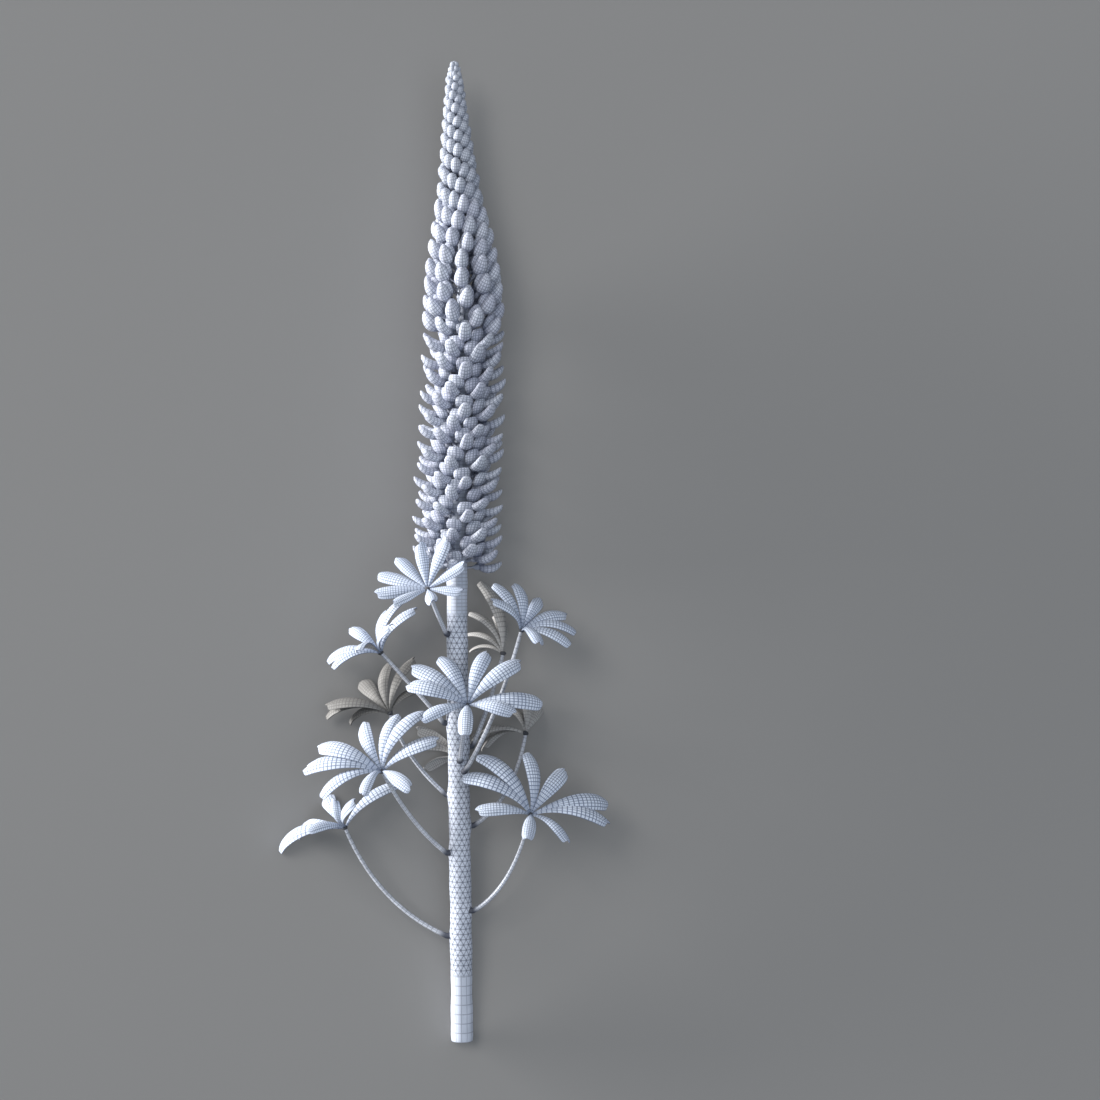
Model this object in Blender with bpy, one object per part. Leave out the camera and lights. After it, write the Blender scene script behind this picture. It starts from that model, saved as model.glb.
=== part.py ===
"""A cut lupin flower spike, lying on a flat surface with its tip towards +Y.

The stem and the flower axis are one grown piece. Florets climb round the axis in three
spirals side by side: open at the bottom, opening above, closed buds towards the tip. Each
turn of a spiral is one piece: its florets on a thin band of joined stalk bases. Each leaf is
a petiole and a fan of leaflets that meet in a small hub.

The plant is laid out with its cut end at y = 0, the stem over x = 0 and the surface at
z = 0, and is then moved so that the origin is under the middle of the whole.
"""

import math

import bmesh
import bpy
from mathutils import Vector

MM = 0.001
GAP = 0.3 * MM

# The stem and the flower axis, one piece
STEM_RADIUS = 8.3 * MM
SPIKE_BASE_RADIUS = 7.7 * MM
TIP_RADIUS = 1.4 * MM
SPIKE_BASE_Y = 352 * MM
SPIKE_TOP_Y = 733 * MM
CUT_END_HEIGHT = 8.1 * MM
SPIKE_HEIGHT = 35.0 * MM
SWAY = 1.3 * MM
SPIKE_BOW = 5.2 * MM
TIP_LEAN = 2.1 * MM
STEM_SIDES = 12
STEM_STATIONS = 16
SPIKE_STATIONS = 12

# The three spirals of florets, and how far apart two rows lie above each other
SPIRALS = 3
OPEN_PER_TURN = 8.4
BUDS_PER_TURN = 12.6
TIP_PER_TURN = 7.6
OPEN_PITCH = 12.9 * MM
BUDS_PITCH = 15.6 * MM
TIP_PITCH = 6.9 * MM
FIRST_FLORET_Y = 359 * MM
OPENING_Y = 531 * MM
BUDS_Y = 629 * MM
LAST_BUD_Y = 727 * MM
BAND_WALL = 1.1 * MM
BAND_SHARE = 0.24
BAND_END_TRIM = 0.6 * GAP

# Florets, section by section from the band to the tip: distance out as a share of the reach,
# then rise, width and depth in mm. A stalk's share counts from the band, a body's from the axis.
OPEN_STALK = (0.17, 0.2, 2.2, 2.2)
OPEN_BODY = ((0.52, 0.8, 7.4, 7.4), (0.76, 3.2, 9.8, 8.2), (0.97, 7.6, 2.6, 3.2))
OPENING_STALK = (0.14, 1.0, 2.0, 2.0)
OPENING_BODY = ((0.70, 5.0, 7.4, 6.0), (0.98, 9.6, 1.8, 2.4))

# Buds have no stalk: distance and width are shares of the reach, rise and depth of the pitch
BUD_BODY = ((0.72, 0.34, 0.5, 0.26), (0.90, 0.76, 0.12, 0.10))

# The most of the room between two neighbours that a floret takes, at its widest
FLORET_ROOM = 0.56

# The unopened point: rise and radius (mm, mm)
TIP_BUD = ((0, 1.3), (2.4, 3.1), (5.4, 2.5), (8.0, 0.7))
TIP_BUD_SIDES = 8

# How far the flowers stand out from the axis, by distance below the tip (mm, mm)
OUTLINE = ((0, 3.4), (10, 6.6), (30, 8.8), (60, 12.2), (85, 15.0), (102, 17.4), (112, 21.0),
           (130, 24.6), (150, 29.4), (168, 32.6), (209, 33.4), (240, 34.4), (400, 35.4))

# Leaves
PETIOLE_RADIUS = 1.4 * MM
PETIOLE_FOOT_RADIUS = 2.3 * MM
PETIOLE_STAND = 2.5 * MM
PETIOLE_TAPER = 0.25
PETIOLE_SIDES = 6
PETIOLE_STATIONS = 7
HUB_RADIUS = 1.9 * MM
HUB_SHARE = 0.42
HUB_WIDEST = math.radians(26)
LEAFLET_THICKNESS = 0.9 * MM
LEAFLET_HALF_WIDTH = 6.5 * MM
LEAFLET_FULL_LENGTH = 52 * MM
LEAFLET_NARROWING = 0.6
LEAFLET_OUTLINE = ((0.30, 0.50), (0.58, 0.94), (0.84, 0.95), (1.0, 0.40))
LEAFLET_ARCH = 0.2
SETTLE_HEIGHT = 5 * MM

# Every leaf: its place on the stem (height, side), the bend of its petiole, its hub, the way
# it faces and its leaflets' tips, seen from the hub. Places are in mm: x to the right of the
# stem, y from the cut end, z above the surface. The side is in degrees round the stem,
# 0 on top and 90 to the right.
LEAVES = (
    {"foot": (311, -48), "bend": (-17, 330, 52), "hub": (-22, 345, 64), "facing": (-0.25, 0.6, 0.75),
     "tips": ((14, 37, 5), (-6, 34, -6), (-23, 23, -12), (-37, 11, -12), (-38, -3, 2),
              (-24, -9, 16), (5, -8, 30), (26, -1, 10), (27, 19, 8))},
    {"foot": (244, -75), "bend": (-27, 264, 40), "hub": (-58, 297, 41), "facing": (-0.55, 0.7, 0.45),
     "tips": ((-41, -6, -15), (-36, -10, 5), (-24, 18, -14), (-15, 3, 30), (3, 31, -16),
              (9, 21, 20), (13, 38, -2), (27, 33, 6))},
    {"foot": (189, -115), "bend": (-42, 217, 24), "hub": (-52, 251, 30), "facing": (-0.5, 0.75, 0.4),
     "tips": ((-49, 5, -6), (-50, -3, -18), (-32, -8, -26), (-25, 22, -38), (-3, 37, -24),
              (18, 41, -9), (22, 17, -16))},
    {"foot": (216, 8), "bend": (4, 238, 58), "hub": (8, 260, 70), "facing": (0.05, 0.55, 0.85),
     "tips": ((-21, 35, -14), (-42, 27, -10), (-44, 15, 4), (-33, -9, 14), (-1, -19, 32),
              (35, -5, 14), (55, 1, -2), (39, 31, -8), (14, 38, -16))},
    {"foot": (146, -62), "bend": (-36, 168, 40), "hub": (-56, 210, 56), "facing": (-0.4, 0.6, 0.7),
     "tips": ((10, 41, -11), (30, 44, -4), (42, 24, 5), (23, -10, 28), (-12, -14, 30),
              (-46, -18, 2), (-58, 1, -7), (-49, 16, -14), (-16, 34, -18))},
    {"foot": (82, -80), "bend": (-62, 104, 16), "hub": (-86, 165, 30), "facing": (-0.4, 0.55, 0.7),
     "tips": ((-53, -20, -26), (-38, -9, -38), (-26, 1, 18), (-17, 20, -34), (-7, 23, 12),
              (9, 23, 24), (41, 33, -4))},
    {"foot": (102, 62), "bend": (40, 118, 34), "hub": (54, 178, 54), "facing": (0.35, 0.65, 0.65),
     "tips": ((-50, 29, 4), (-38, 43, -6), (-40, 4, 12), (-2, 45, -10), (26, 31, -17),
              (58, 6, -20), (58, -8, -6), (28, -19, 14), (-2, -14, 30))},
    {"foot": (208, 28), "bend": (30, 250, 58), "hub": (47, 314, 50), "facing": (0.35, 0.7, 0.6),
     "tips": ((-20, 35, -8), (-22, 23, 14), (-4, 34, -16), (14, 23, -22), (34, 11, -15),
              (41, -1, -4), (37, -10, 8), (14, -9, 28))},
    {"foot": (166, 100), "bend": (42, 186, 26), "hub": (50, 236, 30), "facing": (0.4, 0.75, 0.35),
     "tips": ((-33, -14, -20), (-41, -6, -13), (-15, 14, -34), (-3, 26, -32), (8, 19, -37))},
    {"foot": (186, 180), "bend": (-1, 200, 15), "hub": (-1, 215, 12), "facing": (0.0, 0.55, -0.8),
     "tips": ((-41, 8, -9), (-27, -9, -9), (-33, 22, -9), (2, 38, -9), (24, 22, -9))},
    {"foot": (226, 105), "bend": (24, 258, 26), "hub": (33, 296, 29), "facing": (0.2, 0.85, 0.3),
     "tips": ((-25, 31, -12), (-27, 14, -17), (-5, 28, -24), (-25, 1, -19), (-16, 53, -17))},
)

STEM_COLOUR = (0.62, 0.66, 0.74, 1)
PETIOLE_COLOUR = (0.58, 0.62, 0.70, 1)
LEAF_COLOUR = (0.66, 0.70, 0.77, 1)
FLORET_COLOUR = (0.60, 0.64, 0.73, 1)
BUD_COLOUR = (0.56, 0.60, 0.70, 1)


def material(name, colour, roughness):
    """A plain Principled BSDF finish."""
    found = bpy.data.materials.get(name) or bpy.data.materials.new(name)
    found.use_nodes = True
    shader = found.node_tree.nodes["Principled BSDF"]
    shader.inputs["Base Color"].default_value = colour
    shader.inputs["Roughness"].default_value = roughness
    shader.inputs["Metallic"].default_value = 0.0
    return found


def add_piece(name, bm, finish, smooth_degrees=40):
    """Turns a bmesh into a named object with its own finish, faces out."""
    bmesh.ops.recalc_face_normals(bm, faces=bm.faces)
    mesh = bpy.data.meshes.new(name)
    bm.to_mesh(mesh)
    bm.free()
    mesh.shade_smooth()
    mesh.set_sharp_from_angle(angle=math.radians(smooth_degrees))
    mesh.materials.append(finish)
    piece = bpy.data.objects.new(name, mesh)
    bpy.context.collection.objects.link(piece)
    return piece


def blend(a, b, t):
    return a + (b - a) * t


def read_outline(points, x):
    """Straight-line reading of a list of (x, value) pairs."""
    for (x0, v0), (x1, v1) in zip(points, points[1:]):
        if x <= x1:
            return blend(v0, v1, (x - x0) / (x1 - x0))
    return points[-1][1]


def axis_point(y):
    """The middle of the stem: it rises from the cut end and lies level along the flowers."""
    rise = 1 - max(0.0, 1 - y / SPIKE_BASE_Y) ** 2
    sway = SWAY * math.cos(math.pi * min(1.0, y / SPIKE_BASE_Y))
    up = max(0.0, (y - SPIKE_BASE_Y) / (SPIKE_TOP_Y - SPIKE_BASE_Y))
    sway += SPIKE_BOW * math.sin(math.pi * up) ** 2 - TIP_LEAN * up ** 2
    return Vector((sway, y, blend(CUT_END_HEIGHT, SPIKE_HEIGHT, rise)))


def axis_radius(y):
    if y < SPIKE_BASE_Y:
        return blend(STEM_RADIUS, SPIKE_BASE_RADIUS, y / SPIKE_BASE_Y)
    return blend(SPIKE_BASE_RADIUS, TIP_RADIUS, (y - SPIKE_BASE_Y) / (SPIKE_TOP_Y - SPIKE_BASE_Y))


def round_the_axis(degrees):
    """The way out from the axis: 0 is up, 90 is to the right."""
    turn = math.radians(degrees)
    return Vector((math.sin(turn), 0, math.cos(turn)))


def join_rings(bm, first, second):
    """A band of faces between two rings with the same number of points."""
    count = len(first)
    for i in range(count):
        j = (i + 1) % count
        bm.faces.new((first[i], first[j], second[j], second[i]))


def tube(bm, centres, radii, sides, ends_along=None):
    """A round bar along a list of points, closed at both ends, which can be cut square to a way."""
    rings = []
    across = None
    last = len(centres) - 1
    for i, centre in enumerate(centres):
        along = (centres[min(i + 1, last)] - centres[max(i - 1, 0)]).normalized()
        if ends_along and i in (0, last):
            along = ends_along[0 if i == 0 else 1]
        across = along.orthogonal() if across is None else across - along * across.dot(along)
        across.normalize()
        over = along.cross(across)
        ring = []
        for k in range(sides):
            turn = 2 * math.pi * k / sides
            offset = across * math.cos(turn) + over * math.sin(turn)
            ring.append(bm.verts.new(centre + offset * radii[i]))
        rings.append(ring)
    for first, second in zip(rings, rings[1:]):
        join_rings(bm, first, second)
    bm.faces.new(rings[0])
    bm.faces.new(rings[-1])


def make_stem():
    bm = bmesh.new()
    heights = [SPIKE_BASE_Y * i / STEM_STATIONS for i in range(STEM_STATIONS)]
    length = SPIKE_TOP_Y - SPIKE_BASE_Y
    heights += [SPIKE_BASE_Y + length * i / SPIKE_STATIONS for i in range(SPIKE_STATIONS + 1)]
    tube(bm, [axis_point(y) for y in heights], [axis_radius(y) for y in heights], STEM_SIDES)
    return add_piece("stem", bm, material("stem", STEM_COLOUR, 0.6))


def along_spike(y, low, middle, high):
    """A value that changes steadily through the opening flowers and again through the buds."""
    if y < BUDS_Y:
        return blend(low, middle, max(0.0, (y - OPENING_Y) / (BUDS_Y - OPENING_Y)))
    return blend(middle, high, min(1.0, (y - BUDS_Y) / (LAST_BUD_Y - BUDS_Y)))


def pitch_at(y):
    return along_spike(y, OPEN_PITCH, BUDS_PITCH, TIP_PITCH)


def step_at(y):
    """Degrees between two neighbours on a spiral."""
    return 360 / along_spike(y, OPEN_PER_TURN, BUDS_PER_TURN, TIP_PER_TURN)


def climb_at(y):
    """Rise between two neighbours on a spiral."""
    return SPIRALS * pitch_at(y) * step_at(y) / 360


def reach_at(y):
    return MM * read_outline(OUTLINE, (SPIKE_TOP_Y - y) / MM)


def floret_sections(y):
    """A floret's sections: distance out, rise, width and depth, from its stalk to its tip."""
    reach = reach_at(y)
    pitch = pitch_at(y)
    room = FLORET_ROOM * reach * math.radians(step_at(y))
    if y >= BUDS_Y:
        return [(out * reach, rise * pitch, min(wide * reach, room), deep * pitch)
                for out, rise, wide, deep in BUD_BODY]
    stalk, body = (OPEN_STALK, OPEN_BODY) if y < OPENING_Y else (OPENING_STALK, OPENING_BODY)
    out, rise, wide, deep = stalk
    band = axis_radius(y) + GAP + BAND_WALL
    sections = [(band + out * reach, rise * MM, wide * MM, deep * MM)]
    for out, rise, wide, deep in body:
        sections.append((out * reach, rise * MM, min(wide * MM, room), deep * MM))
    return sections


def add_floret(bm, base, y, degrees):
    """Grows a floret from the four points of its face on the band."""
    out = round_the_axis(degrees)
    across = Vector((0, 1, 0)).cross(out)
    up = Vector((0, 1, 0))
    before = Vector((axis_radius(y), 0))
    previous = base
    for distance, rise, width, depth in floret_sections(y):
        here = Vector((distance, rise))
        along = (here - before).normalized()
        before = here
        over = out * -along.y + up * along.x
        middle = axis_point(y) + out * distance + up * rise
        ring = []
        for side, level in ((-1, -1), (1, -1), (1, 1), (-1, 1)):
            ring.append(bm.verts.new(middle + across * side * width / 2 + over * level * depth / 2))
        join_rings(bm, previous, ring)
        previous = ring
    bm.faces.new(previous)


def band_column(bm, y, degrees, trim):
    """Four points across the band: inner low, outer low, outer high, inner high."""
    half_step = step_at(y) / 2
    inner = (axis_radius(y) + GAP) / math.cos(math.radians(half_step))
    out = round_the_axis(degrees + trim * math.degrees(BAND_END_TRIM / inner))
    half = pitch_at(y) * BAND_SHARE / 2
    corners = ((inner, -half), (inner + BAND_WALL, -half), (inner + BAND_WALL, half), (inner, half))
    return [bm.verts.new(axis_point(y) + out * radius + Vector((0, level, 0))) for radius, level in corners]


def make_floret_piece(name, places, finish):
    """One turn of a spiral: a band of stalk bases round the axis, and its florets."""
    bm = bmesh.new()
    columns = []
    for i, (y, degrees) in enumerate(places):
        trim = -1 if i == 0 else 0
        columns.append(band_column(bm, y - climb_at(y) / 2, degrees + step_at(y) / 2, trim))
    y, degrees = places[-1]
    columns.append(band_column(bm, y + climb_at(y) / 2, degrees - step_at(y) / 2, 1))
    for first, second in zip(columns, columns[1:]):
        for i, j in ((3, 0), (0, 1), (2, 3)):
            bm.faces.new((first[i], first[j], second[j], second[i]))
    for (y, degrees), first, second in zip(places, columns, columns[1:]):
        add_floret(bm, (second[1], first[1], first[2], second[2]), y, degrees)
    bm.faces.new(columns[0])
    bm.faces.new(columns[-1])
    return add_piece(name, bm, finish)


def spiral_turns(spiral):
    """The places of one spiral's florets, height and side, cut into full turns."""
    step = step_at(FIRST_FLORET_Y)
    y = FIRST_FLORET_Y + climb_at(FIRST_FLORET_Y) * spiral / SPIRALS
    degrees = (360 - step) * spiral / SPIRALS
    turns = [[]]
    turned = 0.0
    while y < LAST_BUD_Y:
        if turned + step_at(y) > 360:
            turns.append([])
            turned = 0.0
        turns[-1].append((y, degrees))
        turned += step_at(y)
        degrees -= step_at(y)
        y += climb_at(y)
    return turns


def make_spike():
    """Names and makes a piece for every turn of the spirals, from the lowest up."""
    floret = material("floret", FLORET_COLOUR, 0.65)
    bud = material("bud", BUD_COLOUR, 0.65)
    turns = sorted(turn for spiral in range(SPIRALS) for turn in spiral_turns(spiral))
    pieces = []
    for number, turn in enumerate(turns, start=1):
        middle = turn[len(turn) // 2][0]
        stage = "open_florets" if middle < OPENING_Y else "opening_florets" if middle < BUDS_Y else "buds"
        finish = bud if stage == "buds" else floret
        pieces.append(make_floret_piece(f"{stage}_{number:02d}", turn, finish))
    return pieces


def make_tip_bud():
    """The unopened point of the spike."""
    bm = bmesh.new()
    start = axis_point(SPIKE_TOP_Y) + Vector((0, GAP, 0))
    centres = [start + Vector((0, rise * MM, 0)) for rise, _ in TIP_BUD]
    tube(bm, centres, [radius * MM for _, radius in TIP_BUD], TIP_BUD_SIDES)
    return add_piece("tip_bud", bm, material("bud", BUD_COLOUR, 0.65))


def curve_point(a, b, c, t):
    """A point on the bow from a to c that leans towards b."""
    return a.lerp(b, t).lerp(b.lerp(c, t), t)


def millimetres(values):
    return Vector(values) * MM


def make_petiole(number, leaf):
    """A leaf's stalk: it leaves the stem squarely and thins from a swollen foot to the hub."""
    height, side = leaf["foot"]
    out = round_the_axis(side)
    foot = axis_point(height * MM) + out * (axis_radius(height * MM) + GAP)
    stand = foot + out * PETIOLE_STAND
    hub = millimetres(leaf["hub"])
    facing = Vector(leaf["facing"]).normalized()
    end = hub - facing * (LEAFLET_THICKNESS / 2 + GAP)
    centres = [foot]
    radii = [PETIOLE_FOOT_RADIUS]
    for i in range(PETIOLE_STATIONS):
        t = i / (PETIOLE_STATIONS - 1)
        centres.append(curve_point(stand, millimetres(leaf["bend"]), end, t))
        radii.append(PETIOLE_RADIUS * (1 + PETIOLE_TAPER * (1 - t)))
    bm = bmesh.new()
    tube(bm, centres, radii, PETIOLE_SIDES, ends_along=(out, facing))
    return add_piece(f"petiole_{number:02d}", bm, material("petiole", PETIOLE_COLOUR, 0.6))


def settle(point):
    """Lays whatever would hang through the surface down on it, in a smooth bend."""
    height = point.z - LEAFLET_THICKNESS / 2
    if height < SETTLE_HEIGHT:
        height = SETTLE_HEIGHT * math.exp(height / SETTLE_HEIGHT - 1)
    return Vector((point.x, point.y, height + LEAFLET_THICKNESS / 2))


def leaflet_sections(hub, facing, tip):
    """Cross-sections of an arched leaflet: four corners each, from near the hub to its tip."""
    across = facing.cross(tip).normalized()
    lift = facing * tip.length * LEAFLET_ARCH * 2
    half_width = LEAFLET_HALF_WIDTH * min(1.0, (tip.length / LEAFLET_FULL_LENGTH) ** LEAFLET_NARROWING)
    rows = []
    for t, width in LEAFLET_OUTLINE:
        middle = curve_point(hub, hub + tip / 2 + lift, hub + tip, t)
        rows.append([settle(middle + across * side * width * half_width) for side in (-1, 1)])
    sections = []
    before = hub
    for left, right in rows:
        middle = (left + right) / 2
        over = (middle - before).cross(right - left).normalized() * LEAFLET_THICKNESS / 2
        if over.dot(facing) < 0:
            over.negate()
        before = middle
        sections.append((left - over, right - over, right + over, left + over))
    return sections


def make_leaflets(number, leaf):
    """A fan of leaflets: a flat hub with a leaflet drawn out of a face for each tip."""
    hub = millimetres(leaf["hub"])
    facing = Vector(leaf["facing"]).normalized()
    first = facing.orthogonal().normalized()
    second = facing.cross(first)
    tips = [millimetres(tip) for tip in leaf["tips"]]
    turns = sorted((math.atan2(tip.dot(second), tip.dot(first)) % math.tau, i) for i, tip in enumerate(tips))
    bm = bmesh.new()
    corners = []
    for k, (turn, _) in enumerate(turns):
        room_before = (turn - turns[k - 1][0]) % math.tau
        room_after = (turns[(k + 1) % len(turns)][0] - turn) % math.tau
        half = min(HUB_SHARE * room_before, HUB_SHARE * room_after, HUB_WIDEST)
        for angle in (turn - half, turn + half):
            out = first * math.cos(angle) + second * math.sin(angle)
            edge = hub + out * HUB_RADIUS
            low = bm.verts.new(edge - facing * LEAFLET_THICKNESS / 2)
            high = bm.verts.new(edge + facing * LEAFLET_THICKNESS / 2)
            corners.append((low, high))
    bm.faces.new([low for low, _ in corners])
    bm.faces.new([high for _, high in corners])
    for k, (_, i) in enumerate(turns):
        low_a, high_a = corners[2 * k]
        low_b, high_b = corners[2 * k + 1]
        low_c, high_c = corners[(2 * k + 2) % len(corners)]
        bm.faces.new((low_b, low_c, high_c, high_b))
        previous = (low_a, low_b, high_b, high_a)
        for section in leaflet_sections(hub, facing, tips[i]):
            ring = [bm.verts.new(corner) for corner in section]
            join_rings(bm, previous, ring)
            previous = ring
        bm.faces.new(previous)
    return add_piece(f"leaflets_{number:02d}", bm, material("leaflet", LEAF_COLOUR, 0.6), 30)


def centre_on_origin(pieces):
    """Moves the whole plant so that the origin is under the middle of its box."""
    points = [vertex.co for piece in pieces for vertex in piece.data.vertices]
    low = Vector([min(point[axis] for point in points) for axis in range(3)])
    high = Vector([max(point[axis] for point in points) for axis in range(3)])
    shift = Vector((-(low.x + high.x) / 2, -(low.y + high.y) / 2, -low.z))
    for piece in pieces:
        for vertex in piece.data.vertices:
            vertex.co += shift


def main():
    for old in list(bpy.data.objects):
        bpy.data.objects.remove(old)
    pieces = [make_stem(), make_tip_bud()]
    pieces += make_spike()
    for number, leaf in enumerate(LEAVES, start=1):
        pieces.append(make_petiole(number, leaf))
        pieces.append(make_leaflets(number, leaf))
    centre_on_origin(pieces)


main()
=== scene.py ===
"""A cut lupin flower spike, laid on a grey table with its tip away from the maker.

Everything is laid out in millimetres as the plant lies: x to the right of the stem, y from the
cut end, z above the table. `laid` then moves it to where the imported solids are.
"""
import math
import random

import bmesh
import bpy
from mathutils import Matrix, Vector


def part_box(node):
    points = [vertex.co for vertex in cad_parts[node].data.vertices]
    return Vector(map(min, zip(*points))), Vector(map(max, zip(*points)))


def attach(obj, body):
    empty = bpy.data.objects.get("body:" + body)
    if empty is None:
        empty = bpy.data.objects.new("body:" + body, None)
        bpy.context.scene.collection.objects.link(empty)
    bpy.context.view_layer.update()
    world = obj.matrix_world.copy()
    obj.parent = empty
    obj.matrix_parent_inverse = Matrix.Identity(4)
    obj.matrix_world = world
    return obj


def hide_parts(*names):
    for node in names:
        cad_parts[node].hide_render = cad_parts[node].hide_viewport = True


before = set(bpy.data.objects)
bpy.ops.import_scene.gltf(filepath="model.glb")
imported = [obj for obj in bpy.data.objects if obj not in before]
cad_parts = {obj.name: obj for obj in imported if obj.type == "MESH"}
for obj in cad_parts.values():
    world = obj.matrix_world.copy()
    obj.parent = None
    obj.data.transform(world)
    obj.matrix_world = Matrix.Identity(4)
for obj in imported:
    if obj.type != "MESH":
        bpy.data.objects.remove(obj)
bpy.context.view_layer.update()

MM = 0.001
UP_THE_SPIKE = Vector((0, 1, 0))
dice = random.Random(7)

# The stem and the flower axis
STEM_RADIUS = 8.3
SPIKE_BASE_RADIUS = 7.7
TIP_RADIUS = 1.4
SPIKE_BASE_Y = 352
SPIKE_TOP_Y = 733
CUT_END_HEIGHT = 8.1
CUT_RIND = 1.6
SPIKE_HEIGHT = 35.0
SWAY = 1.3
SPIKE_BOW = 5.2
TIP_LEAN = 2.1
STEM_SIDES = 24
STEM_ROWS = 170

# The three spirals of flowers
SPIRALS = 3
OPEN_PER_TURN = 8.4
BUDS_PER_TURN = 12.6
TIP_PER_TURN = 7.6
OPEN_PITCH = 12.9
BUDS_PITCH = 15.6
TIP_PITCH = 6.9
FIRST_FLORET_Y = 359
OPENING_Y = 531
BUDS_Y = 629
LAST_BUD_Y = 727
OUTLINE = ((0, 3.4), (10, 6.6), (30, 8.8), (60, 12.2), (85, 15.0), (102, 17.4), (112, 21.0),
           (130, 24.6), (150, 29.4), (168, 32.6), (209, 33.4), (240, 34.4), (400, 35.4))
STALK_LEAN = math.radians(60)
STALK_LENGTH = 8.8
OPENING_PLUMPNESS = 1.22

STALK_SINK = 0.5
# how much painted shade every floret stalk carries, standing in the shade among the flowers
STALK_SHADE = 0.45
OPEN_FLORET_LENGTH = 27.2
OPENING_FLORET_LENGTH = 20.6
OPENING_FLORET_FOOT = 5.5
PETAL_ANGLE = 80

# The unopened point, ring by ring: how many buds, where the first is, how high above the top of
# the axis, how far they lean, how far out they stand, and their width and length
TIP_RINGS = (
    (6, 0, -7.0, 12, 3.0, 4.0, 5.8),
    (6, 25, -2.6, 10, 2.3, 3.7, 5.2),
    (4, 50, 1.4, 10, 1.5, 3.6, 4.6),
    (1, 0, 2.6, 0, 0.0, 4.2, 4.2),
)

# The leaves: where each stalk leaves the stem (height and side), the point it bends towards, the
# hub, which way the fan faces, how far its leaflets arch, its tone (the painted light or shade of its
# leaflets), and each leaflet's tip from the hub
PETIOLE_RADIUS = 1.5
PETIOLE_FOOT_RADIUS = 2.8
PETIOLE_COLLAR_RADIUS = 2.1
PETIOLE_STEPS = 15
PETIOLE_SINK = 1.0
PETIOLE_STAND = 4.0
LEAFLET_ROWS = 15
LEAFLET_COLUMNS = 6
LEAFLET_SHAPE = (
    (0, 0.08), (0.10, 0.21), (0.25, 0.46), (0.42, 0.74), (0.58, 0.94), (0.70, 1.0),
    (0.82, 0.97), (0.90, 0.93), (0.96, 0.82), (0.99, 0.68), (1.0, 0.55))
LEAFLET_CROWDING = 1.35
LEAFLET_THICKNESS = 0.7
LEAFLET_WIDTH = 13.4
LEAFLET_FULL_LENGTH = 52
LEAFLET_NARROWING = 0.6
LEAFLET_CROWN = 2.8
LEAFLET_MIDRIB = 0.35
SETTLE_HEIGHT = 5
TABLE_GAP = 0.2
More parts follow.
